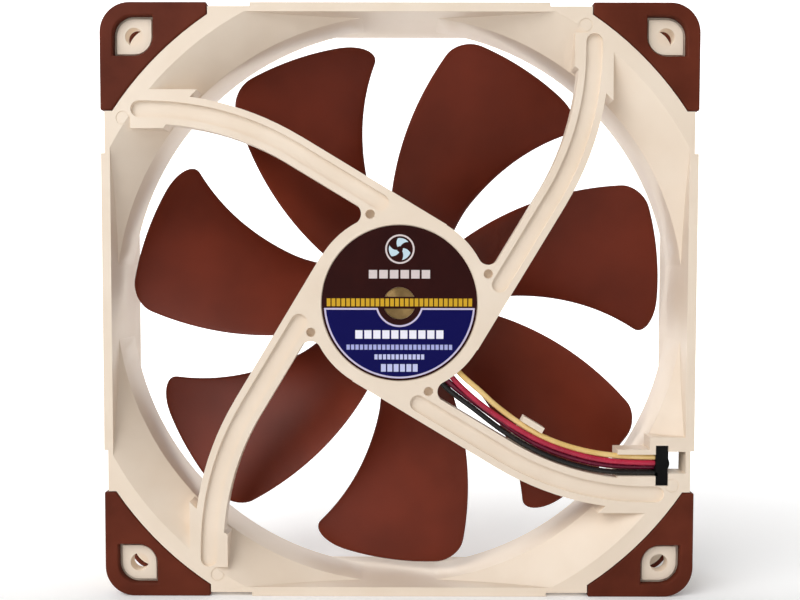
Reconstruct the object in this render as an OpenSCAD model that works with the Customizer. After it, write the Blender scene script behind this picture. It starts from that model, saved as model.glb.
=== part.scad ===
// Case fan, 140 mm: open-corner frame with silicone corner pads, seven-blade impeller and a
// four-wire lead. The rotor axis is Y, the outlet and the label face -Y, and Z is up.

/* [Frame] */
// Width and height over the corner pads
fan_size = 140; // [138:1:142]
// Depth from the outlet face to the inlet face
fan_depth = 25; // [24:0.5:27]
// Thickness of each of the two flanges
flange_t = 5; // [4:0.5:6]
// Distance between the screw hole centres
hole_pitch = 124.5; // [124:0.5:125]
// Diameter of the screw holes
hole_d = 4.3; // [4:0.1:4.6]
// How far the middle of each side stands proud of its ends
side_step = 1; // [0.6:0.1:1.4]
// Length of the proud middle of each side
side_mid = 70; // [50:1:80]

/* [Air duct] */
// Radius of the round duct wall
duct_r = 68.4; // [67.5:0.1:69]
// Half distance between the four flats that trim the duct
duct_flat = 67.8; // [67:0.1:68.2]
// Wall thickness of the duct
duct_wall = 2; // [1.5:0.1:2.5]
// Radius of the outlet flare at the face
outlet_r = 76.9; // [75:0.1:78]
// Depth of the outlet flare
outlet_d = 6; // [4:0.5:8]
// Radius of the stepped inlet at the face
inlet_r = 72.6; // [71:0.1:74]

/* [Struts and hub plate] */
// Radius of the hub plate
hub_r = 21.4; // [20:0.1:23]
// Thickness of the hub plate
hub_t = 2.5; // [2:0.1:3]
// Width of each strut
strut_w = 7; // [5:0.5:8]
// Depth of each strut along the axis
strut_t = 4; // [3:0.5:5]
// Distance of a strut's straight run from the rotor axis
strut_off = 18; // [17:0.1:18.5]
// Slope of a strut's straight run
strut_slope = 31; // [28:1:34]
// Bend radius of a strut
strut_bend = 66; // [60:1:70]
// Height above the axis at which a strut meets the frame
strut_end = 45.3; // [44:0.1:46]
// Width of the groove along each strut
groove_w = 3.8; // [2:0.1:4.2]
// Depth of the groove along each strut
groove_d = 0.9; // [0.4:0.1:1.2]

/* [Corner pads] */
// Length of a pad along each side
pad_len = 25; // [20:1:25]
// Thickness of a pad over the flange face
pad_t = 2.4; // [2:0.1:3]
// Radius of a pad's inner edge about the rotor axis
pad_r = 80.9; // [80:0.1:82]
// Outer corner radius of a pad
pad_corner_r = 7; // [5:0.5:9]
// Thickness of a pad over the flange edge
pad_skirt = 1.1; // [0.8:0.1:1.5]
// Width of the screw boss that shows in a pad's window
boss_w = 8.1; // [7.5:0.1:8.5]

/* [Impeller] */
// Number of blades
blades = 7; // [5:1:9]
// Radius at the blade tips
tip_r = 65.9; // [64:0.1:66.5]
// Outer radius of the impeller hub
cup_r = 20.5; // [19.5:0.1:20.8]
// Thickest part of a blade, along the axis
blade_t = 2.2; // [1.6:0.1:3]

/* [Motor] */
// Shaft diameter
shaft_d = 3; // [2.5:0.1:3.2]
// Radial running clearance of the shaft in its sleeve
shaft_gap = 0.05; // [0.02:0.01:0.1]
// Radius of the stator over its pole shoes
stator_r = 13.8; // [13:0.1:14]
// Radius of the circuit board
board_r = 17.2; // [16:0.1:17.5]

/* [Lead] */
// Outside diameter of one insulated wire
wire_d = 1.3; // [1.1:0.1:1.4]
// Outside diameter of the sleeved lead
cable_d = 3.4; // [3:0.1:3.6]
// Width of the four-way plug housing
plug_w = 10.2; // [9.8:0.1:10.4]
// Length of the plug housing
plug_l = 11; // [9:0.5:11]
// Thickness of the plug housing over its rib
plug_t = 5.8; // [5.2:0.1:6.4]

/* [Hidden] */
$fn = 96;

half = fan_size / 2;
face = fan_depth / 2;
hole_xy = hole_pitch / 2;

// Levels along the axis, positive towards the outlet
flange_in = face - flange_t;
seat = face - pad_t;
boss_top = face - 1.6;
plate_in = face - hub_t;
strut_in = face - strut_t;
label_z = face - 0.35;
tunnel_top = face - 0.7;
cup_front = plate_in - 0.8;
cup_back = -face + 0.7;
cup_floor = cup_back + 2;
board_z = 5.6;
board_t = 1;
core_z = [-4.5, 2.5];

// Radii of the bearing stack, from the tube inwards
tube_r = 5.2;
tube_bore = 3.8;
shell_r = 3.75;
sleeve_r = 3.1;
shaft_r = shaft_d / 2;
yoke_r = cup_r - 1.6;
magnet_r = yoke_r - 1.1;

// A strut's straight run, its bend centre and the unit vectors along and across it
run_dir = [cos(strut_slope), -sin(strut_slope)];
run_out = [sin(strut_slope), cos(strut_slope)];
bend_y = strut_end - strut_bend;
bend_x = (strut_off - strut_bend - bend_y * run_out[1]) / run_out[0];
base_out = 63;
base_in = 45;
base_w = 9;
// Ends of a strut's groove: on its level end, and along its slope
groove_ends = [-61, 16];

// Where the wires leave the hub plate, as an angle about the axis
exit_a = -56;
// The clip's slot: its centre across the frame and its width, height and centre height
clip_x = 62.3;
clip_z = -38.45;
clip_w = 2.8;
clip_h = 9.4;
// The gland at the back of the clip, where the sleeved lead starts
gland = [64, -0.5, -39.5];
// The cut in the rear flange that the lead passes through
slot_x = 66.6;
slot_z = -40.3;
slot_r = 3.2;

// Wire routes from the circuit board to the clip
wire_start = -board_z - board_t - 0.05;
route_yellow = [
  [10, wire_start, -10.7], [10.1, -9, -10.9], [10.7, -10.6, -11.8], [11.8, -10.9, -13.4],
  [13.9, -11, -16.3], [16.8, -11.1, -18.9], [19.2, -11.2, -20.8], [21.6, -11.2, -23.2],
  [24, -11.2, -25.2], [28.7, -11.2, -28.7], [33.5, -11.2, -31.5], [38.3, -11.2, -33.5],
  [43.1, -11.2, -34.9], [47.9, -11.2, -35.9], [54, -11.2, -36.5], [60.85, -11.2, -36.6]
];
route_red = [
  [8.8, wire_start, -11.6], [8.9, -9, -11.8], [9.4, -10.6, -12.7], [10.4, -10.9, -14.3],
  [12.3, -11, -17.7], [16.8, -11.3, -22], [21.6, -11.3, -25.8], [26.4, -11.2, -28.9],
  [31.1, -11.2, -31.7], [35.9, -11.2, -33.9], [40.7, -11.2, -35.5], [45.5, -11.2, -36.8],
  [50.3, -11.2, -37.6], [55, -11.2, -37.9], [60.85, -11.2, -38]
];
route_magenta = [
  [7.5, wire_start, -12.4], [7.6, -9, -12.6], [8.1, -10.6, -13.5], [9.2, -10.9, -15.2],
  [11.2, -10.8, -18.7], [16, -9.9, -22.3], [20.8, -9.8, -25.9], [26.2, -9.9, -29.8],
  [31, -10.3, -32.9], [35.8, -10.3, -35.2], [40.6, -10.3, -36.8], [45.4, -10.2, -38.1],
  [50.2, -10.2, -38.9], [55, -10.2, -39.1], [60.85, -10.2, -39.1]
];
route_black = [
  [6.3, wire_start, -13.3], [6.4, -9, -13.5], [6.9, -10.6, -14.4], [8, -10.9, -16.2],
  [10.5, -11, -20], [16.8, -11.2, -24.3], [21.6, -11.2, -28.2], [26.4, -11.2, -31.7],
  [31.2, -11.2, -34.5], [36, -11.2, -36.7], [40.7, -11.2, -38.3], [45.5, -11.2, -39.5],
  [50.3, -11.2, -40.2], [55, -11.2, -40.3], [60.85, -11.2, -40.3]
];

// The free lead: out of the gland, through the rear flange, down to the floor and round
route_cable = [
  gland, [64, 3.8, -39.5], [66.1, 8.4, -39.8], [67.3, 12.8, -40.7], [67.9, 16, -43.3],
  [68.1, 17.6, -48], [68.2, 17.6, -54.5], [68, 17.3, -60], [66.2, 16.7, -65.2], [61.3, 16, -68],
  [55.5, 15.7, -68.2], [50, 15.6, -68.2], [43.9, 17.2, -68.2], [39.4, 21.8, -68.2],
  [37.7, 27.9, -68.2], [39.4, 34, -68.2], [43.9, 38.6, -68.2], [50, 40.2, -68.2],
  [55.5, 40.2, -68.2], [61, 40.2, -68.2], [64.8, 39.2, -68.2], [67.4, 36.6, -68.2],
  [68.3, 33.1, -68.2], [67.4, 29.5, -68.2], [64.7, 26.9, -68.2], [61.3, 25.9, -68.1],
  [59.8, 25.9, -68.1]
];
cable_end = route_cable[len(route_cable) - 1];
shrink_l = 3.5;
tail_l = 2.5;
// Distance of the plug housing from the sleeve's end, and of the floor below that end
plug_start = shrink_l + tail_l;
drop = -half - cable_end[2];

// Turns a shape drawn with the axis along Z, outlet up, so that the outlet faces -Y
module upright() {
  rotate([90, 0, 0]) children();
}

// A ring or disc between two levels
module ring(outer, inner, low, high) {
  difference() {
    translate([0, 0, low]) cylinder(r = outer, h = high - low);
    if (inner > 0) translate([0, 0, low - 1]) cylinder(r = inner, h = high - low + 2);
  }
}

// A square of the given width with one radius at all four corners
module round_square(w, r) {
  union() {
    square([w, w - 2 * r], center = true);
    square([w - 2 * r, w], center = true);
    for (x = [-1, 1], y = [-1, 1]) translate([x, y] * (w / 2 - r)) circle(r = r);
  }
}

// The leaf outline of a screw boss: round towards the fan's centre and corner, sharp elsewhere
module leaf(w) {
  union() {
    circle(d = w);
    translate([0, -w / 2]) square(w / 2);
    translate([-w / 2, 0]) square(w / 2);
  }
}

// ---- Frame ----

// Outline of a flange: square ends with a proud middle on each side
module flange_outline() {
  union() {
    round_square(fan_size - 2 * side_step, pad_corner_r - side_step);
    square([fan_size - 0.2, side_mid], center = true);
    square([side_mid, fan_size - 0.2], center = true);
  }
}

// Outline of the pad in the top right corner
module pad_outline(grow = 0) {
  difference() {
    intersection() {
      round_square(fan_size + 2 * grow, pad_corner_r);
      translate([1, 1] * (half - pad_len - grow)) square(pad_len + grow + 2);
    }
    circle(r = pad_r - grow, $fn = 192);
  }
}

// Repeats a shape drawn in the top right corner in all four, each turned a quarter
module at_corners() {
  for (a = [0 : 90 : 270]) rotate([0, 0, a]) children();
}

module flange() {
  difference() {
    translate([0, 0, flange_in]) linear_extrude(flange_t) flange_outline();
    at_corners() translate([0, 0, seat]) linear_extrude(pad_t + 1) pad_outline(0.2);
    // the flange edge steps in under the pad's skirt
    at_corners() translate([0, 0, flange_in - 1]) linear_extrude(flange_t + 2)
      difference() {
        intersection() {
          square(half + 2);
          translate([1, 1] * (half - pad_len - 0.2)) square(pad_len + 3);
        }
        round_square(fan_size - 2 * pad_skirt - 0.2, pad_corner_r - pad_skirt);
      }
  }
}

module screw_boss() {
  translate([hole_xy, hole_xy, seat - 0.5]) linear_extrude(boss_top - seat + 0.5) leaf(boss_w);
}

module duct_space() {
  intersection() {
    union() {
      cylinder(r = duct_r, h = fan_depth + 2, center = true, $fn = 192);
      // outlet flare, carried on a little past the face
      translate([0, 0, face - outlet_d])
        cylinder(r1 = duct_r, r2 = duct_r + (outlet_r - duct_r) * 1.2, h = outlet_d * 1.2, $fn = 192);
      // two steps at the inlet
      translate([0, 0, -face - 1]) cylinder(r = inlet_r, h = 4, $fn = 192);
      translate([0, 0, -face - 1]) cylinder(r = (inlet_r + duct_r) / 2, h = 6.5, $fn = 192);
    }
    cube([2 * duct_flat, 2 * duct_flat, fan_depth + 4], center = true);
  }
}

// Centre band of one strut, w wide, between a point x_in on its level end and t_out on its slope.
// The straight runs lap the bend and are a hair wider, so that the solids cross cleanly.
module strut_band(w, x_in, t_out) {
  bend = [bend_x, bend_y];
  lap = 0.2;
  wide = w + 0.04;
  union() {
    translate([x_in, strut_end - wide / 2]) square([bend_x - x_in + lap, wide]);
    intersection() {
      translate(bend) difference() {
        circle(r = strut_bend + w / 2, $fn = 192);
        circle(r = strut_bend - w / 2, $fn = 192);
      }
      translate(bend) polygon([[0, 0], [0, 90], 100 * run_out + 40 * run_dir, 90 * run_out]);
      translate(bend) polygon([[0, 0], [0, 100], 100 * (run_out + [0, 1]), 100 * run_out]);
    }
    translate(run_out * strut_off) rotate(-strut_slope)
      translate([-t_out[0] - lap, -wide / 2]) square([t_out[0] - t_out[1] + lap, wide]);
  }
}

// Distance along the slope from the point nearest the axis out to the bend
slope_len = -(bend_x * run_dir[0] + bend_y * run_dir[1]);

module strut() {
  difference() {
    strut_solid();
    // room for the rotor's rim behind the hub plate
    translate([0, 0, strut_in - 1]) cylinder(r = hub_r + 0.3, h = plate_in - strut_in + 1);
  }
}

module strut_solid() {
  translate([0, 0, strut_in]) linear_extrude(strut_t) strut_band(strut_w, -base_out, [slope_len, 0]);
  // block that stands on the outlet flare and ends in line with the duct
  difference() {
    translate([-base_out, strut_end - base_w / 2, face - outlet_d])
      cube([base_out - base_in, base_w, outlet_d]);
    cylinder(r = duct_r + 0.3, h = fan_depth, $fn = 192);
  }
  // fillet in the crotch between the strut and the hub plate
  translate([0, 0, strut_in]) linear_extrude(strut_t) crotch(2.6);
}

// Filled corner where the inner edge of a strut meets the hub plate; its round runs a little into both
module crotch(r) {
  lap = 0.05;
  inner = strut_off - strut_w / 2;
  turn = acos((inner - r + lap) / (hub_r + r - lap));
  meet = acos(inner / hub_r);
  a = 90 - strut_slope + turn;
  mid = (hub_r + r - lap) * [cos(a), sin(a)];
  m = 90 - strut_slope + meet;
  difference() {
    polygon([mid, mid + run_out * r * 1.02, hub_r * [cos(m), sin(m)] + run_dir,
             (hub_r - 1) * [cos(m), sin(m)], (hub_r - 0.2) * [cos(a), sin(a)]]);
    translate(mid) circle(r = r);
  }
}

module strut_groove() {
  translate([0, 0, face - groove_d]) linear_extrude(groove_d + 1) union() {
    strut_band(groove_w, groove_ends[0], [slope_len, groove_ends[1]]);
    translate([groove_ends[0], strut_end]) circle(d = groove_w);
    translate(run_out * strut_off - run_dir * groove_ends[1]) circle(d = groove_w);
  }
}

// Blind hole and ejector ring beside each strut
module small_marks() {
  hole_a = 108.3;
  translate([22 * cos(hole_a), 22 * sin(hole_a), face - 2]) cylinder(d = 2.2, h = 3);
  translate([-64.7, 43.2, 0]) ring(1.6, 1.35, face - 0.15, face + 1);
}

// Extra wall, trough and clip housing beside the strut that carries the wires
module wire_base() {
  translate([51.8, -42, face - outlet_d]) cube([8, 7.4, outlet_d]);
  translate([59.4, -44.7, face - outlet_d]) cube([9, 13, outlet_d]);
  // hooked tab that holds the wires against the strut
  tab = [33.4, -31.8];
  translate([tab[0], tab[1], 0]) rotate(-strut_slope) {
    translate([-5.8, -6, strut_in + 0.2]) cube([5.6, 8.4, 0.5]);
    translate([-5.8, 1, strut_in + 0.2]) cube([5.6, 1.4, strut_t - 0.3]);
  }
}

module wire_cuts() {
  // trough for the wires, the clip's slot and the open notch beside it
  translate([50, -41, face - 3.4]) cube([11.2, 5.2, 4]);
  translate([clip_x - clip_w / 2 - 0.1, clip_z - clip_h / 2 - 0.1, 0])
    cube([clip_w + 0.2, clip_h + 0.2, face + 1]);
  translate([clip_x + clip_w / 2, -40.3, 0]) cube([4.2, 5.2, face + 1]);
  // tunnel under the rim of the hub plate
  rotate(exit_a) translate([12.5, -3.5, plate_in - 3]) cube([10.5, 7, tunnel_top - plate_in + 3]);
}

module frame() color("#f0e2d2") upright() difference() {
  union() {
    difference() {
      union() {
        flange();
        mirror([0, 0, 1]) flange();
        at_corners() screw_boss();
        mirror([0, 0, 1]) at_corners() screw_boss();
        intersection() {
          cylinder(r = duct_r + duct_wall, h = fan_depth, center = true, $fn = 192);
          cube([fan_size - 0.2, fan_size - 0.2, fan_depth], center = true);
        }
      }
      duct_space();
    }
    ring(hub_r, 0, plate_in, face);
    ring(tube_r, 0, -5.6, face);
    at_corners() strut();
    wire_base();
  }
  // bearing tube bore, label recess and screw holes
  translate([0, 0, -7]) cylinder(r = tube_bore, h = fan_depth);
  translate([0, 0, label_z]) cylinder(r = 18.5, h = 2);
  at_corners() translate([hole_xy, hole_xy, 0]) cylinder(d = hole_d, h = fan_depth + 2, center = true);
  at_corners() strut_groove();
  at_corners() small_marks();
  wire_cuts();
  translate([slot_x, slot_z, -face - 1]) cylinder(r = slot_r, h = flange_t + 2);
  translate([slot_x, slot_z - slot_r, -face - 1]) cube([5, 2 * slot_r, flange_t + 2]);
}

// ---- Corner pads ----

// One silicone cap over the top right corner of the outlet flange
module corner_pad() {
  difference() {
    union() {
      translate([0, 0, seat]) linear_extrude(pad_t) pad_outline();
      translate([0, 0, flange_in]) linear_extrude(flange_t - pad_t) difference() {
        pad_outline();
        round_square(fan_size - 2 * pad_skirt, pad_corner_r - pad_skirt);
      }
    }
    translate([hole_xy, hole_xy, 0]) linear_extrude(face + 1) leaf(boss_w + 1.2);
  }
}

// Pads at the front, or at the rear, turned by quarter turns counted from the top right
module pad(quarter, rear = false) {
  color("#5d2a20") upright() mirror([0, 0, rear ? 1 : 0]) rotate(90 * quarter) corner_pad();
}

module pad_front_top_right() pad(0);
module pad_front_top_left() pad(1);
module pad_front_bottom_left() pad(2);
module pad_front_bottom_right() pad(3);
module pad_rear_top_right() pad(0, true);
module pad_rear_top_left() pad(1, true);
module pad_rear_bottom_left() pad(2, true);
module pad_rear_bottom_right() pad(3, true);

// ---- Rotor ----

// Stations along a blade, from inside the hub wall to the tip
blade_root = cup_r - 0.8;
corner_r = tip_r - 4.9;
stations = [blade_root, 24, 30, 37, 44, 51, 57, corner_r, corner_r + 2.4, corner_r + 4, tip_r - 0.1];
chord_n = 8;

// Angles of the two long edges of a blade, before its corners are rounded
function trailing_a(r) = 45.4 - 0.43 * (r - 20.5);
function leading_a(r) =
  r > 29.5 ? 2.4 - 0.0368 * pow(r - 29.5, 1.6) : 2.4 - 0.042 * pow(29.5 - r, 2);
// How far the rounded tip corners eat into the chord, from 0 at corner_r to 1 at tip_r
function corner(r) = r <= corner_r ? 0 : 1 - sqrt(max(0, 1 - pow((r - corner_r) / (tip_r - corner_r), 2)));
function chord_at(r, k) = let (s0 = 0.3 * corner(r), s1 = 1 - 0.15 * corner(r)) s0 + (s1 - s0) * k / chord_n;
function span(r) = (r - 20.5) / (tip_r - 20.5);
// Level of the blade's mean surface: s is 0 at the leading edge and 1 at the trailing edge
function level(r, s) =
  let (low = -10.5 + 0.3 * span(r), high = 6 - 3.5 * span(r))
  low + (high - low) * (s - 0.35 * s * (1 - s));
function thick(s) = 0.5 + (blade_t - 0.5) * sqrt(max(0, 4 * s * (1 - s)));
function blade_point(r, k, side) =
  let (s = chord_at(r, k), a = leading_a(r) + (trailing_a(r) - leading_a(r)) * s)
  [r * cos(a), r * sin(a), level(r, s) + side * thick(s) / 2];

module blade() {
  n = len(stations);
  m = chord_n + 1;
  points = [for (side = [1, -1], r = stations, k = [0 : chord_n]) blade_point(r, k, side)];
  function at(side, i, k) = side * n * m + i * m + k;
  top = [for (i = [0 : n - 2], k = [0 : chord_n - 1])
    each [[at(0, i, k), at(0, i + 1, k + 1), at(0, i + 1, k)],
          [at(0, i, k), at(0, i, k + 1), at(0, i + 1, k + 1)]]];
  bottom = [for (i = [0 : n - 2], k = [0 : chord_n - 1])
    each [[at(1, i, k), at(1, i + 1, k), at(1, i + 1, k + 1)],
          [at(1, i, k), at(1, i + 1, k + 1), at(1, i, k + 1)]]];
  long_edges = [for (i = [0 : n - 2])
    each [[at(0, i, 0), at(0, i + 1, 0), at(1, i + 1, 0)], [at(0, i, 0), at(1, i + 1, 0), at(1, i, 0)],
          [at(0, i, chord_n), at(1, i + 1, chord_n), at(0, i + 1, chord_n)],
          [at(0, i, chord_n), at(1, i, chord_n), at(1, i + 1, chord_n)]]];
  ends = [for (k = [0 : chord_n - 1])
    each [[at(0, 0, k), at(1, 0, k + 1), at(0, 0, k + 1)], [at(0, 0, k), at(1, 0, k), at(1, 0, k + 1)],
          [at(0, n - 1, k), at(0, n - 1, k + 1), at(1, n - 1, k + 1)],
          [at(0, n - 1, k), at(1, n - 1, k + 1), at(1, n - 1, k)]]];
  polyhedron(points, concat(top, bottom, long_edges, ends));
}

module impeller() color("#5c2a1e") upright() union() {
  difference() {
    ring(cup_r, 0, cup_back, cup_front);
    translate([0, 0, cup_floor]) cylinder(r = yoke_r + 0.1, h = fan_depth);
  }
  ring(4.5, shaft_r, cup_floor - 0.2, -6.6);
  for (i = [0 : blades - 1]) rotate(i * 360 / blades) blade();
}

module rotor_yoke() color("#8d8f91") upright() union() {
  ring(yoke_r, yoke_r - 1, cup_floor + 0.05, board_z);
  ring(yoke_r - 0.5, 5.2, cup_floor + 0.05, cup_floor + 0.8);
}

module rotor_magnet() color("#3a3a3c") upright() ring(magnet_r, magnet_r - 3.4, -7.5, 5);

module shaft() color("#c9ccd0") upright() union() {
  ring(shaft_r, 0, cup_floor - 0.2, 8);
  ring(shaft_r - 0.3, 0, 7.9, 8.6);
  ring(shaft_r, 0, 8.5, 9.4);
}

module retaining_ring() color("#d8d8d2") upright() ring(2.6, shaft_r - 0.28, 8.02, 8.48);

// ---- Bearing ----

module bearing_shell() color("#b9bcc0") upright() ring(shell_r, sleeve_r + 0.05, -5.2, 7.8);

module bearing_sleeve() color("#c9a15c") upright() ring(sleeve_r, shaft_r + shaft_gap, -4.1, 7.6);

module oil_seal() color("#2b2b2b") upright() ring(sleeve_r, shaft_r + 0.2, -5.1, -4.3);

module thrust_magnet() color("#77787a") upright() ring(3.7, 0, 9.65, 10.5);

module bearing_cap() color("#a98a58") upright() union() {
  ring(shell_r, 0, 10.7, 12.1);
  ring(3.1, 0, 12, 12.3);
}

// ---- Stator ----

// Outline of the four-pole core: ring, necks and curved pole shoes
module core_outline(ring_out, neck_w, shoe) {
  difference() {
    union() {
      circle(r = ring_out);
      for (a = [0 : 90 : 270]) rotate(a) translate([0, -neck_w / 2]) square([shoe[1] - 0.6, neck_w]);
      difference() {
        circle(r = shoe[0]);
        circle(r = shoe[1] - 1);
        for (a = [45 : 90 : 315]) rotate(a) translate([5, -2.3]) square([12, 4.6]);
      }
    }
    circle(r = tube_r + 0.05);
  }
}

module stator_core() color("#6f7276") upright()
  translate([0, 0, core_z[0]]) linear_extrude(core_z[1] - core_z[0])
    core_outline(7, 4.6, [stator_r, stator_r - 0.6]);

module insulator(low, high) {
  color("#2f6b3c") upright() translate([0, 0, low]) linear_extrude(high - low)
    core_outline(7.6, 5.6, [stator_r - 0.4, stator_r - 0.8]);
}

module insulator_front() insulator(core_z[1], core_z[1] + 1);

module insulator_rear() insulator(core_z[0] - 1, core_z[0]);

module windings() color("#b5622d") upright() for (a = [0 : 90 : 270]) rotate(a) {
  low = core_z[0] - 1;
  high = core_z[1] + 1;
  // one coil wound round a neck and its two insulators
  translate([7.8, 0, 0]) rotate([90, 0, 90]) linear_extrude(3.6) difference() {
    translate([0, (low + high) / 2]) round_block(8.6, high - low + 2.2, 1.4);
    translate([-2.9, low - 0.05]) square([5.8, high - low + 0.1]);
  }
}

// A w by h rectangle with round corners
module round_block(w, h, r) {
  union() {
    square([w, h - 2 * r], center = true);
    square([w - 2 * r, h], center = true);
    for (x = [-1, 1], y = [-1, 1]) translate([x * (w / 2 - r), y * (h / 2 - r)]) circle(r = r);
  }
}

// Four wound-terminal pins that stand on the front insulator and pass through the board
pin_at = 6.4;
module winding_pins() color("#c8c8c4") upright()
  for (a = [45 : 90 : 315]) rotate(a) translate([pin_at, 0, 0])
    ring(0.35, 0, core_z[1] + 1, board_z + board_t + 0.6);

// ---- Circuit board ----

module circuit_board() color("#1f4a2a") upright() difference() {
  ring(board_r, tube_r + 0.2, board_z, board_z + board_t);
  for (a = [45 : 90 : 315]) rotate(a) translate([pin_at, 0, 0]) cylinder(r = 0.45, h = 20);
  // flat on the rim where the board is snapped from its panel
  translate([-20, board_r - 0.8, 0]) cube([40, 5, 20]);
}

board_top = board_z + board_t;
module driver_chip() color("#202022") upright() union() {
  translate([-13.4, -3, board_top + 0.15]) cube([5, 6, 1.5]);
  for (i = [0 : 3], s = [0, 1])
    translate([-12.9 + i * 1.1, s ? 2.8 : -3.8, board_top]) cube([0.45, 1, 0.5]);
}

module hall_sensor() color("#202022") upright() rotate(45)
  translate([11.4, -1.6, board_z - 1.9]) cube([1.6, 3.2, 1.9]);

module board_capacitors() color("#b79a6c") upright() {
  translate([8, 6.5, board_top]) cube([2, 1.25, 1.2]);
  translate([4, 10.5, board_top]) cube([2, 1.25, 1.2]);
  translate([-6, 9.5, board_top]) cube([1.6, 0.8, 0.5]);
  translate([-3, -12, board_top]) cube([3.2, 1.6, 1.6]);
}

module label() color("#2b0d10") upright() ring(18.3, tube_bore, label_z, label_z + 0.2);

// ---- Wires, clip and free lead ----

// A tube of diameter d swept along a list of points, with flat ends square to the first and last run
function unit(v) = v / norm(v);
function tangent(p, i) = unit(p[min(i + 1, len(p) - 1)] - p[max(i - 1, 0)]);
// Each ring keeps the direction of the one before it as nearly as it can, so that the tube doesn't twist
function across(v, t) = unit(v - t * (v * t));
function sides(p, i, v) = i == len(p) ? [] :
  let (w = across(v, tangent(p, i))) concat([w], sides(p, i + 1, w));
module tube(p, d, first, last, n = 8) {
  t = [for (i = [0 : len(p) - 1]) i == 0 ? first : i == len(p) - 1 ? last : tangent(p, i)];
  start = across([0.3, 0.1, 0.9], first);
  u = sides(p, 0, start);
  points = [for (i = [0 : len(p) - 1], k = [0 : n - 1])
    let (w = across(u[i], t[i]), b = cross(t[i], w), a = 360 * k / n)
    p[i] + d / 2 * (cos(a) * w + sin(a) * b)];
  rings = len(p);
  skin = [for (i = [0 : rings - 2], k = [0 : n - 1]) let (k2 = (k + 1) % n)
    each [[i * n + k, (i + 1) * n + k, (i + 1) * n + k2], [i * n + k, (i + 1) * n + k2, i * n + k2]]];
  caps = [[for (k = [0 : n - 1]) k], [for (k = [0 : n - 1]) rings * n - 1 - k]];
  polyhedron(points, concat(skin, caps));
}

module wire(p) {
  tube(p, wire_d, [0, -1, 0], [1, 0, 0]);
}

module lead_yellow() color("#f0d090") wire(route_yellow);
module lead_red() color("#c0304a") wire(route_red);
module lead_magenta() color("#6a1028") wire(route_magenta);
module lead_black() color("#141210") wire(route_black);

// Rubber clip in the frame's slot, with the strain relief that the sleeved lead comes out of
module cable_clip() color("#0c0c0c") upright() union() {
  front = face - 0.3;
  translate([clip_x - clip_w / 2, clip_z - clip_h / 2, 3.5]) difference() {
    cube([clip_w, clip_h, front - 3.5]);
    translate([-1, 2, front - 5]) cube([1.45, 1, 3]);
  }
  translate([clip_x - clip_w / 2, clip_z - clip_h / 2, 3.5]) cube([4.6, clip_h, 2.8]);
  translate([gland[0], gland[2], -gland[1]]) cylinder(r = 2.3, h = 4);
}

module cable() color("#1a1a1b") tube(route_cable, cable_d, [0, 1, 0], [-1, 0, 0]);

// Places a shape drawn from the origin along +Y where the sleeve ends, pointing along -X
module on_cable_end() {
  translate(cable_end) rotate([0, 0, 90]) children();
}

module plug_shrink() color("#111111") on_cable_end()
  rotate([-90, 0, 0]) cylinder(d = cable_d + 0.4, h = shrink_l);

wire_gap = 2.54;
module plug_wires() color("#3a3a3a") on_cable_end() for (i = [0 : 3])
  translate([(i - 1.5) * 0.9, shrink_l, 0]) rotate([-90, 0, 0]) cylinder(d = 0.85, h = tail_l);

// Housing of the four-way plug, with a polarising rib on its top face
module plug_housing() color("#18181a") on_cable_end() difference() {
  union() {
    translate([-plug_w / 2, plug_start, drop]) cube([plug_w, plug_l, plug_t - 1.2]);
    translate([0.6 - plug_w / 2, plug_start + 3, drop]) cube([6.4, plug_l - 3, plug_t]);
  }
  for (i = [0 : 3]) translate([(i - 1.5) * wire_gap - 0.7, plug_start + 2, drop + 1.4])
    cube([1.4, plug_l, 1.8]);
}

module plug_contacts() color("#c9ad5a") on_cable_end() for (i = [0 : 3])
  translate([(i - 1.5) * wire_gap - 0.45, plug_start + 2, drop + 1.4]) difference() {
    cube([0.9, plug_l - 3, 1.6]);
    translate([0.2, 1, 0.3]) cube([0.5, plug_l, 1]);
  }

frame();
pad_front_top_left();
pad_front_top_right();
pad_front_bottom_left();
pad_front_bottom_right();
pad_rear_top_left();
pad_rear_top_right();
pad_rear_bottom_left();
pad_rear_bottom_right();
impeller();
rotor_yoke();
rotor_magnet();
shaft();
retaining_ring();
bearing_shell();
bearing_sleeve();
oil_seal();
thrust_magnet();
bearing_cap();
stator_core();
insulator_front();
insulator_rear();
windings();
winding_pins();
circuit_board();
driver_chip();
hall_sensor();
board_capacitors();
label();
lead_yellow();
lead_red();
lead_magenta();
lead_black();
cable_clip();
cable();
plug_shrink();
plug_wires();
plug_housing();
plug_contacts();
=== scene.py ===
import math

import bmesh
import bpy
import numpy as np
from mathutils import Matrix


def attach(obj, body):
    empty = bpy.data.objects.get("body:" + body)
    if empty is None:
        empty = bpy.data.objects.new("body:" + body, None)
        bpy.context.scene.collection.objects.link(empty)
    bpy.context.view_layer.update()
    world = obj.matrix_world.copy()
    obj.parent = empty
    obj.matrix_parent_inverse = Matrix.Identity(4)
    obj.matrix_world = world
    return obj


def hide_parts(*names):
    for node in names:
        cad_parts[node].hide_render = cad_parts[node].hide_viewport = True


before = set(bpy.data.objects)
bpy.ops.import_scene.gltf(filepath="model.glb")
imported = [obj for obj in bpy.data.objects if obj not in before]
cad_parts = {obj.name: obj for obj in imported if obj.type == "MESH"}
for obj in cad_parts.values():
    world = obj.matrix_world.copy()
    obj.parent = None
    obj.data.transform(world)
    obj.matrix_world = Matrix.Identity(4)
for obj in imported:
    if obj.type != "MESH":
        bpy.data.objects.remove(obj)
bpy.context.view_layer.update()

scene = bpy.context.scene

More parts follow.
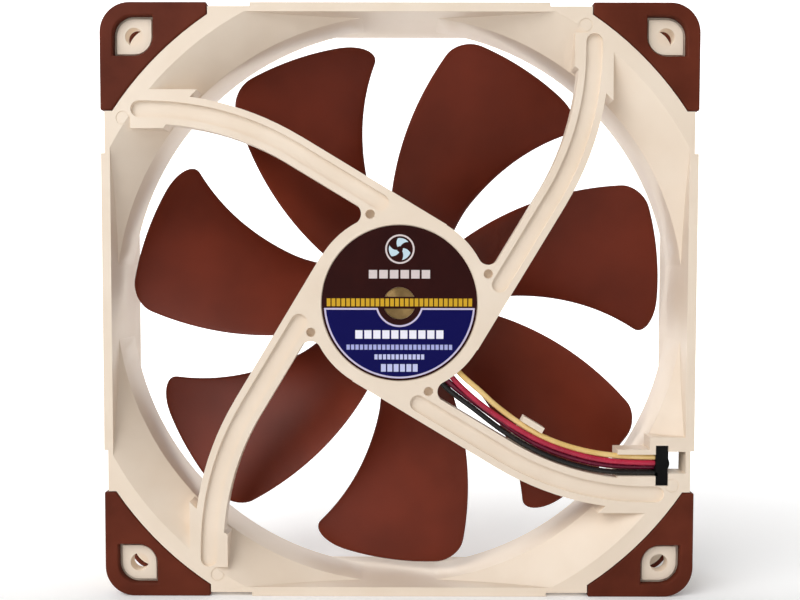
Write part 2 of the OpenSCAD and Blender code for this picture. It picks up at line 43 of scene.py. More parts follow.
# ---- Camera ----
# It stands about 0.24 m in front of the outlet face, a little above the rotor axis, and is
# tipped down 2.5 degrees.
camera = bpy.data.objects.new("camera", bpy.data.cameras.new("camera"))
camera.location = (0.0006, -0.2372, 0.0066)
camera.rotation_euler = [math.radians(a) for a in (87.5, -0.1, 0.12)]
camera.data.lens = 42.98
camera.data.shift_y = 0.021
camera.data.clip_start = 0.01
scene.collection.objects.link(camera)
scene.camera = camera


# ---- Free lead ----
# Four wires in a black braided sleeve, 3.4 mm across. It leaves the rubber clip, passes the slot
# in the inlet flange, drops behind the corner and lies in one loop on the floor.
def smooth_route(points, steps):
    """A curve led by given points in mm, cut into steps per span: the cubic B-spline, where
    each place is a weighted mean of the four points round it. It starts and ends on them."""
    p = np.array(points, float)
    p = np.vstack([2 * p[0] - p[1], p, 2 * p[-1] - p[-2]])
    t = np.linspace(0, 1, steps, endpoint=False)[None, :, None]
    weights = (1 - t) ** 3, 3 * t**3 - 6 * t**2 + 4, 1 + 3 * t + 3 * t**2 - 3 * t**3, t**3
    curve = sum(w * p[i : len(p) - 3 + i, None] for i, w in enumerate(weights)) / 6
    return np.vstack([curve.reshape(-1, 3), p[-2]])


def rings_along(centre, radius, sides):
    """Rings of points round a line, each square to it. A ring's first direction is the last
    ring's with its part along the new tangent taken out. Both ends close on a pole."""
    along = np.gradient(centre, axis=0)
    along /= np.linalg.norm(along, axis=1)[:, None]
    first = [np.cross(along[0], [0.3, 0.2, 0.93])]
    for tangent in along:
        first.append(first[-1] - tangent * (first[-1] @ tangent))
    first = np.array(first[1:])
    first /= np.linalg.norm(first, axis=1)[:, None]
    second = np.cross(along, first)
    turn = np.linspace(0, 2 * np.pi, sides, endpoint=False)[None, :, None]
    spokes = np.cos(turn) * first[:, None] + np.sin(turn) * second[:, None]
    rings = centre[:, None] + radius * spokes
    poles = [np.repeat(centre[i][None, None], sides, 1) for i in (0, -1)]
    return np.concatenate([poles[0], rings, poles[1]])


def make_piece(name, grids, body, replaced=(), sharp=40, uv=None):
    """A closed mesh from grids of points in mm, each (rows, columns, 3) with its last column
    joined to its first. Points that meet are merged, and edges over sharp degrees are creased.
    uv gives one size (across, along) in mm for each grid, laid over it evenly."""
    points, quads, flat = [], [], []
    for k, grid in enumerate(grids):
        rows, cols = grid.shape[:2]
        index = np.arange(rows * cols).reshape(rows, cols) + sum(len(p) for p in points)
        index = np.hstack([index, index[:, :1]])
        quads.append(np.stack([index[:-1, :-1], index[:-1, 1:], index[1:, 1:], index[1:, :-1]], -1))
        points.append(grid.reshape(-1, 3))
        if uv:
            u, v = np.meshgrid(np.linspace(0, uv[k][0], cols + 1), np.linspace(0, uv[k][1], rows))
            at = np.stack([u, v], -1) * 0.001
            flat.append(np.stack([at[:-1, :-1], at[:-1, 1:], at[1:, 1:], at[1:, :-1]], 2))
    mesh = bpy.data.meshes.new(name)
    quads = np.concatenate([q.reshape(-1, 4) for q in quads])
    mesh.from_pydata(np.concatenate(points) * 0.001, [], quads.tolist())
    if uv:
        layer = mesh.uv_layers.new(name="surface")
        layer.data.foreach_set("uv", np.concatenate([f.reshape(-1, 2) for f in flat]).ravel())
    work = bmesh.new()
    work.from_mesh(mesh)
    bmesh.ops.remove_doubles(work, verts=work.verts, dist=2e-7)
    bmesh.ops.recalc_face_normals(work, faces=work.faces)
    work.to_mesh(mesh)
    work.free()
    mesh.shade_smooth()
    mesh.set_sharp_from_angle(angle=math.radians(sharp))
    piece = bpy.data.objects.new(name, mesh)
    scene.collection.objects.link(piece)
    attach(piece, body)
    if replaced:
        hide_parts(*replaced)
    return piece


def paint(code):
    """A linear colour from an sRGB hex value: each channel c is c / 12.92 below 0.04045, and
    ((c + 0.055) / 1.055) to the power 2.4 above."""
    c = np.array([int(code[i : i + 2], 16) for i in (1, 3, 5)]) / 255
    return (*np.where(c <= 0.04045, c / 12.92, ((c + 0.055) / 1.055) ** 2.4).tolist(), 1.0)


def add(tree, kind, inputs=None, **settings):
    """One shader node with its settings, and with its inputs set or linked."""
    made = tree.nodes.new("ShaderNode" + kind)
    for key, value in settings.items():
        setattr(made, key, value)
    for key, value in (inputs or {}).items():
        if isinstance(value, bpy.types.NodeSocket):
            tree.links.new(value, made.inputs[key])
        else:
            made.inputs[key].default_value = value
    return made


def start_material(name, roughness, **sockets):
    """A new material with the constants of its surface set; returns it, its tree and shader.
    A socket is named in small letters with underscores, as in specular_ior_level."""
    made = bpy.data.materials.new(name)
    made.use_nodes = True
    shader = made.node_tree.nodes["Principled BSDF"]
    shader.inputs["Roughness"].default_value = roughness
    for key, value in sockets.items():
        socket = key.replace("_", " ").title().replace("Ior", "IOR")
        shader.inputs[socket].default_value = value
    return made, made.node_tree, shader


def dress(piece, material):
    """The piece, or a CAD node by its name, takes one material."""
    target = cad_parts[piece] if isinstance(piece, str) else piece
    target.data.materials.clear()
    target.data.materials.append(material)


CABLE_D = 3.4
CABLE_ROUTE = [
    (64, -0.5, -39.5), (64, 3.8, -39.5), (66.1, 8.4, -39.8), (67.3, 12.8, -40.7), (67.9, 16, -43.3),
    (68.1, 17.6, -48), (68.2, 17.6, -54.5), (68, 17.3, -60), (66.2, 16.7, -65.2), (61.3, 16, -68),
    (55.5, 15.7, -68.2), (50, 15.6, -68.2), (43.9, 17.2, -68.2), (39.4, 21.8, -68.2),
    (37.7, 27.9, -68.2), (39.4, 34, -68.2), (43.9, 38.6, -68.2), (50, 40.2, -68.2),
    (55.5, 40.2, -68.2), (61, 40.2, -68.2), (64.8, 39.2, -68.2), (67.4, 36.6, -68.2),
    (68.3, 33.1, -68.2), (67.4, 29.5, -68.2), (64.7, 26.9, -68.2), (61.3, 25.9, -68.1),
    (59.8, 25.9, -68.1),
]
cable_line = smooth_route(CABLE_ROUTE, 10)
cable_length = np.linalg.norm(np.diff(cable_line, axis=0), axis=1).sum()
cable = make_piece(
    "sleeved_lead", [rings_along(cable_line, CABLE_D / 2, 24)], "housing", ["cable"],
    uv=[(math.pi * CABLE_D, cable_length)],
)
# Braided polyester sleeve: flat bundles of black thread crossing on the slant, ten of them round
# the sleeve, so a fine diamond relief with a dull sheen. Its colour is painted shade: dark in the
# weave's hollows, light on its crests.
BRAID_MM = 1.068
sleeve, tree, shader = start_material("braided polyester sleeve", 0.55, sheen_weight=0.25)
flat = add(tree, "SeparateXYZ", {0: add(tree, "UVMap", uv_map="surface").outputs[0]})
waves = []
for way in ("ADD", "SUBTRACT"):
    slant = add(tree, "Math", {0: flat.outputs[0], 1: flat.outputs[1]}, operation=way)
    phase = add(tree, "Math", {0: slant.outputs[0], 1: 2 * math.pi * 1000 / BRAID_MM},
                operation="MULTIPLY")
    waves.append(add(tree, "Math", {0: phase.outputs[0]}, operation="SINE"))
weave = add(tree, "Math", {0: waves[0].outputs[0], 1: waves[1].outputs[0]}, operation="MULTIPLY")
tone = add(tree, "MapRange", {"Value": weave.outputs[0], "From Min": -1.0})
# painted shade: the weave's hollows are coloured dark and its crests light
ramp = add(tree, "Mix", {0: tone.outputs[0], 6: paint("#101011"), 7: paint("#2C2C2E")},
           data_type="RGBA")
bump = add(tree, "Bump", {"Height": tone.outputs[0], "Distance": 0.00025, "Strength": 0.8})
tree.links.new(ramp.outputs[2], shader.inputs["Base Color"])
tree.links.new(bump.outputs[0], shader.inputs["Normal"])
dress(cable, sleeve)


# ---- Plug on the lead's end ----
# A four-way crimp housing moulded in black nylon, tin-plated contacts, the four wire tails, and
# a short length of heat-shrink over the end of the sleeve.
def surface_finish(name, light, dark, roughness, patch_mm, grain_mm, grain_depth_mm, **sockets):
    """A solid-coloured material whose tone drifts between two colours over patches of patch_mm,
    with a grain of grain_mm that lifts the surface by grain_depth_mm and shifts its roughness."""
    made, tree, shader = start_material(name, roughness, **sockets)
    place = add(tree, "TexCoord").outputs["Object"]
    patch = add(tree, "TexNoise", {"Vector": place, "Scale": 1000 / patch_mm, "Detail": 3.0})
    drift = add(tree, "MapRange", {"Value": patch.outputs[0], "From Min": 0.3, "From Max": 0.7})
    tone = add(tree, "Mix", {0: drift.outputs[0], 6: paint(dark), 7: paint(light)},
               data_type="RGBA")
    grain = add(tree, "TexNoise", {"Vector": place, "Scale": 1000 / grain_mm, "Detail": 2.0})
    dull = add(tree, "MapRange", {"Value": grain.outputs[0], "To Min": roughness - 0.06,
                                  "To Max": roughness + 0.06})
    bump = add(tree, "Bump", {"Height": grain.outputs[0], "Distance": grain_depth_mm * 0.001})
    tree.links.new(tone.outputs[2], shader.inputs["Base Color"])
    tree.links.new(dull.outputs[0], shader.inputs["Roughness"])
    tree.links.new(bump.outputs[0], shader.inputs["Normal"])
    return made


dress("plug_housing",
      surface_finish("moulded nylon, black", "#232325", "#161617", 0.5, 4, 0.4, 0.01))
dress("plug_contacts",
      surface_finish("tin-plated brass", "#D2D0C8", "#A8A59A", 0.28, 2, 0.3, 0.003, metallic=1.0))
dress("plug_shrink",
      surface_finish("heat-shrink polyolefin", "#1C1C1D", "#111112", 0.42, 2, 0.8, 0.02))
dress("plug_wires",
      surface_finish("PVC wire tails, black", "#242322", "#141313", 0.3, 2, 0.5, 0.004))


# ---- Wires along the strut ----
# Four PVC-insulated wires, 1.3 mm across, run from the circuit board through a tunnel in the hub
# plate and along the lower right strut to the clip, side by side with a little slack.
WIRE_D = 1.3
# each wire's light and dark tone, then the points that lead it, in mm
WIRES = {
    "yellow": (("#F0D090", "#E2BC70"), [
        (10, -6.65, -10.7), (10.1, -9, -10.9), (10.7, -10.6, -11.8), (11.8, -10.9, -13.4),
        (13.9, -11, -16.3), (16.8, -11.1, -18.9), (19.2, -11.2, -20.8), (21.6, -11.2, -23.2),
        (24, -11.2, -25.2), (28.7, -11.2, -28.7), (33.5, -11.2, -31.5), (38.3, -11.2, -33.5),
        (43.1, -11.2, -34.9), (47.9, -11.2, -35.9), (54, -11.2, -36.5), (60.85, -11.2, -36.6)]),
    "red": (("#C22A48", "#A31E3A"), [
        (8.8, -6.65, -11.6), (8.9, -9, -11.8), (9.4, -10.6, -12.7), (10.4, -10.9, -14.3),
        (12.3, -11, -17.7), (16.8, -11.3, -22), (21.6, -11.3, -25.8), (26.4, -11.2, -28.9),
        (31.1, -11.2, -31.7), (35.9, -11.2, -33.9), (40.7, -11.2, -35.5), (45.5, -11.2, -36.8),
        (50.3, -11.2, -37.6), (55, -11.2, -37.9), (60.85, -11.2, -38)]),
    "magenta": (("#7A1436", "#5E0C26"), [
        (7.5, -6.65, -12.4), (7.6, -9, -12.6), (8.1, -10.6, -13.5), (9.2, -10.9, -15.2),
        (11.2, -10.8, -18.7), (16, -9.9, -22.3), (20.8, -9.8, -25.9), (26.2, -9.9, -29.8),
        (31, -10.3, -32.9), (35.8, -10.3, -35.2), (40.6, -10.3, -36.8), (45.4, -10.2, -38.1),
        (50.2, -10.2, -38.9), (55, -10.2, -39.1), (60.85, -10.2, -39.1)]),
    "black": (("#1B1918", "#0F0E0D"), [
        (6.3, -6.65, -13.3), (6.4, -9, -13.5), (6.9, -10.6, -14.4), (8, -10.9, -16.2),
        (10.5, -11, -20), (16.8, -11.2, -24.3), (21.6, -11.2, -28.2), (26.4, -11.2, -31.7),
        (31.2, -11.2, -34.5), (36, -11.2, -36.7), (40.7, -11.2, -38.3), (45.5, -11.2, -39.5),
        (50.3, -11.2, -40.2), (55, -11.2, -40.3), (60.85, -11.2, -40.3)]),
}
for colour, ((light, dark), route) in WIRES.items():
    wire = make_piece(
        "wire_" + colour, [rings_along(smooth_route(route, 8), WIRE_D / 2, 20)], "housing",
        ["lead_" + colour],
    )
    # extruded PVC: smooth and glossy, with a slight waviness from being bent
    dress(wire, surface_finish("PVC insulation, " + colour, light, dark, 0.26, 6, 1.6, 0.02))


# ---- Cable clip ----
# A block of black silicone rubber pressed into its slot in the frame; it grips the wires and
# seals them, and holds the end of the sleeve.
dress("cable_clip",
      surface_finish("moulded rubber, black", "#121212", "#080808", 0.6, 5, 0.5, 0.01,
                     specular_ior_level=0.1))


# ---- Frame ----
# One moulding in cream glass-filled PBT: two flanges, the duct wall, four struts, the hub plate
# and the bearing tube. Its edges come out of the mould a little rounded.
def soften_edges(node, width_mm):
    """Joins a CAD node's loose triangles, clears the lines across its flat faces, and rounds
    every edge sharper than 28 degrees."""
    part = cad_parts[node]
    weld = part.modifiers.new("join", "WELD")
    weld.merge_threshold = 2e-6
    clear = part.modifiers.new("flat faces", "DECIMATE")
    clear.decimate_type = "DISSOLVE"
    clear.angle_limit = math.radians(0.4)
    bevel = part.modifiers.new("mould radius", "BEVEL")
    bevel.width = width_mm * 0.001
    bevel.segments = 2
    bevel.limit_method = "ANGLE"
    bevel.angle_limit = math.radians(28)
    bevel.harden_normals = False


soften_edges("frame", 0.3)
# The mould is spark-eroded to a fine satin, about 0.3 mm between its pits; drawn at 0.5 mm so
# that it shows. Glass filling leaves faint cloudy patches.
dress("frame", surface_finish("moulded PBT, cream", "#EFDFCC", "#E9D7C2", 0.5, 14, 0.5, 0.006))


# ---- Corner pads ----
# Eight silicone caps in brown, pushed over the flange corners to damp vibration. Each is soft and
# matt, with a window round the screw boss.
silicone = surface_finish("moulded silicone, brown", "#642A18", "#54200F", 0.6, 9, 0.6, 0.012,
                          specular_ior_level=0.15)
for node in [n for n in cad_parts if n.startswith("pad_")]:
    soften_edges(node, 0.35)
    dress(node, silicone)


# ---- Impeller ----
# Hub and seven swept blades moulded in one piece in brown glass-filled PBT. The blades' edges and
# tip corners are round, and each root swells into the hub.
CUP_R, TIP_R, BLADE_T, BLADES = 20.5, 65.9, 2.2, 7
CUP_BACK, CUP_FRONT, CUP_FLOOR = -11.8, 9.2, -9.8
# radius of the rounded tip corners, and thickness of the blade at its edges
CORNER, EDGE_T = 4.9, 0.5
# the leading edge is furthest forward, at LEAD_A degrees, where the radius is LEAD_R
LEAD_A, LEAD_R = 2.4, 29.5
# its fall from there in degrees: a factor and a power of the distance, outwards and inwards
LEAD_OUT, LEAD_IN = (0.0368, 1.6), (0.042, 2)
# the trailing edge's angle at the hub, and its fall in degrees per mm outwards
TRAIL_A, TRAIL_FALL = 45.4, 0.43
# levels of the leading and the trailing edge at the hub with their change out to the tip, and
# how far the ramp between them sags
LEAD_LEVEL, TRAIL_LEVEL, BOW = (-10.5, 0.3), (6, -3.5), 0.35
# share by which the root thickens, over how many mm it fades, and over how many the tip closes
ROOT_SWELL, ROOT_FADE, TIP_CLOSE = 0.9, 0.9, 0.45


def blade_section(first_angle):
    """Loops round the blade, one at each radius from inside the hub to the tip. The chord runs
    between two angles that are functions of radius; the rounded tip corners shorten it. The
    level is a bowed ramp from the leading to the trailing edge, and the thickness follows
    the sine of the loop's own angle, so that both edges are round."""
    body = np.linspace(CUP_R - 1, TIP_R - 5, 40)
    tip = TIP_R - CORNER * (1 - np.sin(np.linspace(0, np.pi / 2, 14)[1:]))
    r = np.concatenate([[body[0]], body, tip, [tip[-1]]])[:, None]
    turn = np.linspace(0, 2 * np.pi, 72, endpoint=False)[None]
    into = np.clip(r - (TIP_R - CORNER), 0, CORNER) / CORNER
    corner = 1 - np.sqrt(np.clip(1 - into**2, 0, 1))
    first, last = 0.3 * corner, 1 - 0.15 * corner
    s = first + (last - first) * (1 - np.cos(turn)) / 2
    outer = LEAD_A - LEAD_OUT[0] * np.maximum(r - LEAD_R, 0) ** LEAD_OUT[1]
    inner = LEAD_A - LEAD_IN[0] * (LEAD_R - r) ** LEAD_IN[1]
    lead = np.where(r > LEAD_R, outer, inner)
    trail = TRAIL_A - TRAIL_FALL * (r - CUP_R)
    angle = np.radians(first_angle + lead + (trail - lead) * s)
    span = (r - CUP_R) / (TIP_R - CUP_R)
    low, high = (at_hub + change * span for at_hub, change in (LEAD_LEVEL, TRAIL_LEVEL))
    level = low + (high - low) * (s - BOW * s * (1 - s))
    swell = 1 + ROOT_SWELL * np.exp(-np.maximum(r - CUP_R, 0) / ROOT_FADE)
    wave = np.abs(np.sin(turn))
    full = EDGE_T * np.minimum(1, wave / 0.25) ** 0.5 + (BLADE_T - EDGE_T) * wave
    close = np.sqrt(np.clip((TIP_R - r) / TIP_CLOSE, 0, 1))
    close[0] = close[-1] = 0
    level = level + np.sign(np.sin(turn)) * full * close * swell / 2
    return np.stack([r * np.cos(angle), -level, r * np.sin(angle)], -1)


def turned(profile, sides):
    """A profile of (radius, level) points turned round the rotor axis; level runs towards -Y."""
    r, level = np.array(profile, float).T[:, :, None]
    turn = np.linspace(0, 2 * np.pi, sides, endpoint=False)[None]
    return np.stack([r * np.cos(turn), -level + 0 * turn, r * np.sin(turn)], -1)


def quarter(r, level, radius, start):
    """Six points of a quarter round about (r, level), from start degrees and turning left."""
    a = np.radians(np.linspace(start, start + 90, 6))
    return list(zip(r + radius * np.cos(a), level + radius * np.sin(a)))


# the hub from the middle of its back, over the rim, down the inside and along the shaft's socket
hub_profile = [
    (0, CUP_BACK + 0.35), (1.8, CUP_BACK + 0.35), (2.2, CUP_BACK), (14.6, CUP_BACK),
    (15, CUP_BACK + 0.25), (15.8, CUP_BACK + 0.25), (16.2, CUP_BACK),
    *quarter(CUP_R - 1.3, CUP_BACK + 1.3, 1.3, -90), *quarter(CUP_R - 0.4, CUP_FRONT - 0.4, 0.4, 0),
    *quarter(19.4, CUP_FRONT - 0.4, 0.4, 90), (19, CUP_FLOOR + 0.6), (18.4, CUP_FLOOR),
    (5.1, CUP_FLOOR), (4.5, CUP_FLOOR + 0.6), (4.5, -6.9), (4.2, -6.6), (1.7, -6.6), (1.5, -6.8),
    (1.5, CUP_FLOOR - 0.2), (0, CUP_FLOOR - 0.2),
]
impeller = make_piece(
    "impeller_moulding",
    [turned(hub_profile, 144)] + [blade_section(360 * i / BLADES) for i in range(BLADES)],
    "rotor", ["impeller"], sharp=50,
)
# Brown PBT: a satin skin, its tone drifting at random between two browns in faint clouds
# about 26 mm across.
dress(impeller, surface_finish("moulded PBT, brown", "#742C18", "#5C200E", 0.46, 26, 0.5, 0.02,
                               specular_ior_level=0.2))


# ---- Label ----
# A round printed film stuck in the hub plate's recess. A strip of it crosses the bearing cap, so
# that the brass shows through two half-round windows.
LABEL_R, WINDOW_R, LABEL_BACK, LABEL_FRONT = 18.3, 3.8, 12.16, 12.35
label_ring = turned([(WINDOW_R, LABEL_BACK), (LABEL_R, LABEL_BACK), (LABEL_R, LABEL_FRONT),
                     (WINDOW_R, LABEL_FRONT), (WINDOW_R, LABEL_BACK)], 192)
STRIP_END, STRIP_LOW, STRIP_HIGH, STRIP_BACK, STRIP_FRONT = 4, -1.3, 1.5, 12.31, 12.34
label_strip = np.array([
    [(x, -STRIP_BACK, STRIP_LOW), (x, -STRIP_FRONT, STRIP_LOW), (x, -STRIP_FRONT, STRIP_HIGH),
     (x, -STRIP_BACK, STRIP_HIGH)] for x in (-STRIP_END, STRIP_END)
], float)
ends = [np.repeat(label_strip[i].mean(0)[None, None], 4, 1) for i in (0, 1)]
label = make_piece(
    "label_film", [label_ring, np.concatenate([ends[0], label_strip, ends[1]])], "housing",
    ["label"], sharp=30,
)
# Screen-printed polyester film under a satin varnish: maroon above, navy below with a pale
# outline. Plain dashes and a small rotor sign stand where a real label carries its lettering.
# The maroon drifts over patches of 6 mm.
film, tree, shader = start_material("printed polyester film", 0.42, specular_ior_level=0.12)
place = add(tree, "TexCoord").outputs["Object"]
in_mm = add(tree, "VectorMath", {0: place, 3: 1000.0}, operation="SCALE")
axes = add(tree, "SeparateXYZ", {0: in_mm.outputs[0]})
across, height = axes.outputs[0], axes.outputs[2]
flat = add(tree, "CombineXYZ", {0: across, 1: height})
reach = add(tree, "VectorMath", {0: flat.outputs[0]}, operation="LENGTH").outputs["Value"]
cloud = add(tree, "TexNoise", {"Vector": place, "Scale": 1000 / 6.25, "Detail": 3.0})
ink = add(tree, "Mix", {0: cloud.outputs[0], 6: paint("#240606"), 7: paint("#330D09")},
          data_type="RGBA").outputs[2]


def print_patch(ink, colour, *spans):
    """The ink so far with a colour over it wherever each value lies between its two limits: the
    mask is the product of the comparisons."""
    mask = 1.0
    for value, low, high in spans:
        inside = add(tree, "Math", {0: value, 1: (low + high) / 2, 2: (high - low) / 2},
                     operation="COMPARE")
        mask = add(tree, "Math", {0: inside.outputs[0], 1: mask}, operation="MULTIPLY").outputs[0]
    return add(tree, "Mix", {0: mask, 6: ink, 7: paint(colour)}, data_type="RGBA").outputs[2]


# the lower field: its radii round the cap and at the rim, its upper edge, and its outline's width
FIELD_IN, FIELD_OUT, FIELD_TOP, LINE = 5.2, 17.8, -1.15, 0.42
ink = print_patch(ink, "#C9C0DC", (reach, FIELD_IN, FIELD_OUT), (height, -LABEL_R, FIELD_TOP))
ink = print_patch(ink, "#05044F", (reach, FIELD_IN + LINE, FIELD_OUT - LINE),
                  (height, -LABEL_R, FIELD_TOP - LINE))
# rows of dashes: lowest and highest edge, half length, pitch, share inked, colour
ROWS = [
    (-0.75, 1.1, 17.3, 1.15, 0.76, "#D2A52A"),
    (5.8, 7.8, 7.2, 2.5, 0.8, "#D9CCCB"),
    (-8.4, -6.4, 10.6, 2.12, 0.8, "#F0EFFA"),
    (-11, -9.8, 12.6, 1.05, 0.72, "#A9AEE0"),
    (-13.3, -12.1, 6, 1.0, 0.72, "#C4C8EE"),
    (-16.2, -14.4, 4.4, 1.5, 0.76, "#C4C8EE"),
]
for low, high, half, pitch, inked, colour in ROWS:
    lap = add(tree, "Math", {0: across, 1: pitch, 2: 0.0}, operation="WRAP").outputs[0]
    ink = print_patch(ink, colour, (across, -half, half), (height, low, high),
                      (lap, (1 - inked) * pitch / 2, (1 + inked) * pitch / 2))
# rotor sign: a ring round three curved blades, with its centre and the radii of both
SIGN_AT, SIGN_RING, SIGN_BLADES = (0.1, 12.7, 0), (3.05, 3.45), (0.7, 2.6)
middle = add(tree, "VectorMath", {0: flat.outputs[0], 1: SIGN_AT}, operation="SUBTRACT")
sign = add(tree, "SeparateXYZ", {0: middle.outputs[0]})
sign_r = add(tree, "VectorMath", {0: middle.outputs[0]}, operation="LENGTH").outputs["Value"]
sign_a = add(tree, "Math", {0: sign.outputs[1], 1: sign.outputs[0]}, operation="ARCTAN2")
swirl = add(tree, "Math", {0: sign_a.outputs[0], 1: 3.0, 2: sign_r}, operation="MULTIPLY_ADD")
lobes = add(tree, "Math", {0: swirl.outputs[0]}, operation="COSINE").outputs[0]
ink = print_patch(ink, "#D9CCCB", (sign_r, *SIGN_RING))
ink = print_patch(ink, "#C6DDE8", (sign_r, *SIGN_BLADES), (lobes, 0, 1.1))
varnish = add(tree, "TexNoise", {"Vector": place, "Scale": 1000 / 0.6})
bump = add(tree, "Bump", {"Height": varnish.outputs[0], "Distance": 0.000006})
tree.links.new(ink, shader.inputs["Base Color"])
tree.links.new(bump.outputs[0], shader.inputs["Normal"])
dress(label, film)


# ---- Bearing cap ----
# A turned brass plug that closes the bearing tube. The lathe leaves fine rings about its centre,
# LATHE_MM apart, and handling leaves tarnish in patches of about 2 mm.
LATHE_MM = 0.25
brass, tree, shader = start_material("turned brass", 0.32, metallic=1.0)
place = add(tree, "TexCoord").outputs["Object"]
axes = add(tree, "SeparateXYZ", {0: place})
flat = add(tree, "CombineXYZ", {0: axes.outputs[0], 1: axes.outputs[2]})
reach = add(tree, "VectorMath", {0: flat.outputs[0]}, operation="LENGTH").outputs["Value"]
phase = add(tree, "Math", {0: reach, 1: 2 * math.pi * 1000 / LATHE_MM}, operation="MULTIPLY")
rings = add(tree, "Math", {0: phase.outputs[0]}, operation="SINE").outputs[0]
tarnish = add(tree, "TexNoise", {"Vector": place, "Scale": 450.0, "Detail": 4.0})
tone = add(tree, "Mix", {0: tarnish.outputs[0], 6: paint("#77603C"), 7: paint("#AC8E60")},
           data_type="RGBA")
bump = add(tree, "Bump", {"Height": rings, "Distance": 0.000012})
tree.links.new(tone.outputs[2], shader.inputs["Base Color"])
tree.links.new(bump.outputs[0], shader.inputs["Normal"])
dress("bearing_cap", brass)


# ---- Rotor's steel and magnet ----
# Inside the hub: a drawn steel yoke, a plastic-bonded ferrite ring, a ground steel shaft and the
# nylon ring that keeps the shaft in its bearing.
dress("rotor_yoke", surface_finish("drawn steel, zinc plated", "#A3A6A8", "#85888B",
                                   0.36, 6, 0.5, 0.006, metallic=1.0))
dress("rotor_magnet", surface_finish("bonded ferrite", "#3F3F41", "#2C2C2E", 0.62, 3, 0.4, 0.02))
dress("shaft", surface_finish("ground stainless steel", "#D4D6D8", "#BABDC0",
                              0.16, 3, 0.15, 0.001, metallic=1.0))
dress("retaining_ring",
      surface_finish("nylon, natural", "#E2E1D8", "#D0CFC4", 0.45, 2, 0.4, 0.006))


# ---- Bearing ----
# Pressed into the bearing tube from the inlet side: a steel shell, a sintered bronze sleeve, an
# oil seal and the small magnet that draws the shaft's end down.
dress("bearing_shell", surface_finish("turned steel", "#C0C3C6", "#9EA1A5",
                                      0.3, 3, 0.3, 0.004, metallic=1.0))
dress("bearing_sleeve", surface_finish("sintered bronze", "#C39A58", "#96703A",
                                       0.46, 1.5, 0.25, 0.015, metallic=1.0))
dress("oil_seal", surface_finish("nitrile rubber", "#2E2E2F", "#202021", 0.6, 2, 0.4, 0.01))
dress("thrust_magnet", surface_finish("nickel-plated magnet", "#B4B2AC", "#94918A",
                                      0.26, 2, 0.4, 0.003, metallic=1.0))


# ---- Stator ----
# Four wound poles: stacked steel sheets between two nylon insulators, coils of enamelled copper
# wire and their terminal pins.
def layered_finish(name, light, dark, roughness, pitch_mm, depth_mm, way, **sockets):
    """A surface built of lines pitch_mm apart along one axis (0, 1 or 2), each a rounded ridge. Its
    colour is painted dark in the grooves and light on the crests: painted shade.
    """
    made, tree, shader = start_material(name, roughness, **sockets)
    axes = add(tree, "SeparateXYZ", {0: add(tree, "TexCoord").outputs["Object"]})
    lap = add(tree, "Math", {0: axes.outputs[way], 1: pitch_mm * 0.0005}, operation="PINGPONG")
    ridge = add(tree, "MapRange", {"Value": lap.outputs[0], "From Max": pitch_mm * 0.0005},
                interpolation_type="SMOOTHSTEP")
    # painted shade: each ridge is coloured darker towards its grooves
    tone = add(tree, "Mix", {0: ridge.outputs[0], 6: paint(dark), 7: paint(light)},
               data_type="RGBA")
    bump = add(tree, "Bump", {"Height": ridge.outputs[0], "Distance": depth_mm * 0.001})
    tree.links.new(tone.outputs[2], shader.inputs["Base Color"])
    tree.links.new(bump.outputs[0], shader.inputs["Normal"])
    return made


# the sheets and the wire turns carry painted shade in the grooves between them
dress("stator_core", layered_finish("silicon steel sheets", "#7C8085", "#4A4D50",
                                    0.42, 0.5, 0.03, 1, metallic=1.0))
dress("windings", layered_finish("enamelled copper wire", "#C66E36", "#6E3416",
                                 0.3, 0.25, 0.08, 1, metallic=0.8))
nylon = surface_finish("moulded nylon, white", "#E8E6DC", "#D6D3C6", 0.45, 4, 0.4, 0.006)
for node in ("insulator_front", "insulator_rear"):
    dress(node, nylon)
dress("winding_pins", surface_finish("tinned steel pin", "#CFCFCB", "#B0B0AB",
                                     0.3, 1, 0.2, 0.003, metallic=1.0))


# ---- Circuit board ----
# A round glass-epoxy board under the stator, with the driver, the Hall sensor that reads the
# magnet, and four ceramic capacitors.
dress("circuit_board", surface_finish("solder mask, green", "#2B6238", "#1C4A28",
                                      0.35, 2.5, 0.5, 0.01, coat_weight=0.3))
epoxy = surface_finish("chip epoxy, black", "#2A2A2C", "#1C1C1E", 0.55, 2, 0.15, 0.005)
for node in ("driver_chip", "hall_sensor"):
    dress(node, epoxy)
dress("board_capacitors",
      surface_finish("fired ceramic, tan", "#BFA274", "#A58557", 0.4, 0.8, 0.2, 0.003))


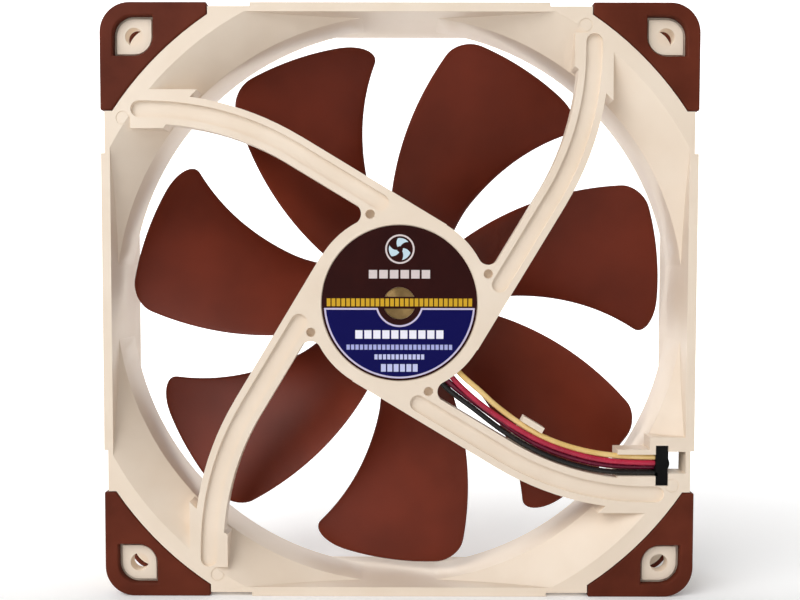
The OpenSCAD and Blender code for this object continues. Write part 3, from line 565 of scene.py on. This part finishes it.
# ---- Floor and light ----
# A pale studio sweep: the floor runs back and curves up into a wall. One big soft lamp stands
# above and to the left in front, with a weaker one on the right and a soft white surround.
FLOOR_Z, FLOOR_FRONT, HALF_WIDTH, WALL_TOP = -70, -1500, 1800, 1600
CURVE_START, CURVE_R = 500, 500
arc = np.radians(np.linspace(0, 90, 24))
back = np.concatenate([[FLOOR_FRONT], CURVE_START + CURVE_R * np.sin(arc), [CURVE_START + CURVE_R]])
rise = np.concatenate([[0], CURVE_R - CURVE_R * np.cos(arc), [WALL_TOP]]) + FLOOR_Z
side = np.linspace(-HALF_WIDTH, HALF_WIDTH, 9)
sweep = np.stack(np.broadcast_arrays(side[None], back[:, None], rise[:, None]), -1)
rows, cols = sweep.shape[:2]
index = np.arange(rows * cols).reshape(rows, cols)
quads = np.stack([index[:-1, :-1], index[:-1, 1:], index[1:, 1:], index[1:, :-1]], -1)
floor_mesh = bpy.data.meshes.new("studio_sweep")
floor_mesh.from_pydata(sweep.reshape(-1, 3) * 0.001, [], quads.reshape(-1, 4).tolist())
floor_mesh.shade_smooth()
floor = bpy.data.objects.new("studio_sweep", floor_mesh)
scene.collection.objects.link(floor)
# behind the fan the paper glows with painted light, standing in for paper lit from the back: where
# the glow starts and is full, in metres behind the axis, and how strong it is
GLOW_START, GLOW_FULL, GLOW = -0.05, 0.3, 0.9
paper = surface_finish("matt paper, white", "#FAFAFA", "#F6F6F6", 0.9, 300, 2, 0.01,
                       emission_color=(1, 1, 1, 1))
tree = paper.node_tree
axes = add(tree, "SeparateXYZ", {0: add(tree, "TexCoord").outputs["Object"]})
glow = add(tree, "MapRange", {"Value": axes.outputs[1], "From Min": GLOW_START,
                              "From Max": GLOW_FULL, "To Max": GLOW})
# painted light: the sweep's emission rises from none in front to GLOW behind the fan
tree.links.new(glow.outputs[0], tree.nodes["Principled BSDF"].inputs["Emission Strength"])
dress(floor, paper)

world = bpy.data.worlds.new("soft surround")
world.use_nodes = True
surround = world.node_tree.nodes["Background"]
surround.inputs["Color"].default_value = (1, 1, 1, 1)
surround.inputs["Strength"].default_value = 0.2
scene.world = world
# colours are shown as they are painted, with no film curve
scene.view_settings.view_transform = "Standard"
# place in metres, width in metres, power in watts
LAMPS = {"key": ((-0.68, -0.82, 0.75), 1.0, 14), "fill": ((0.8, -0.9, 0.1), 0.8, 1.5)}
for name, (place, width, power) in LAMPS.items():
    lamp = bpy.data.objects.new(name, bpy.data.lights.new(name, "AREA"))
    lamp.data.size = width
    lamp.data.energy = power
    lamp.location = place
    lamp.rotation_euler = (-lamp.location).to_track_quat("-Z", "Y").to_euler()
    scene.collection.objects.link(lamp)
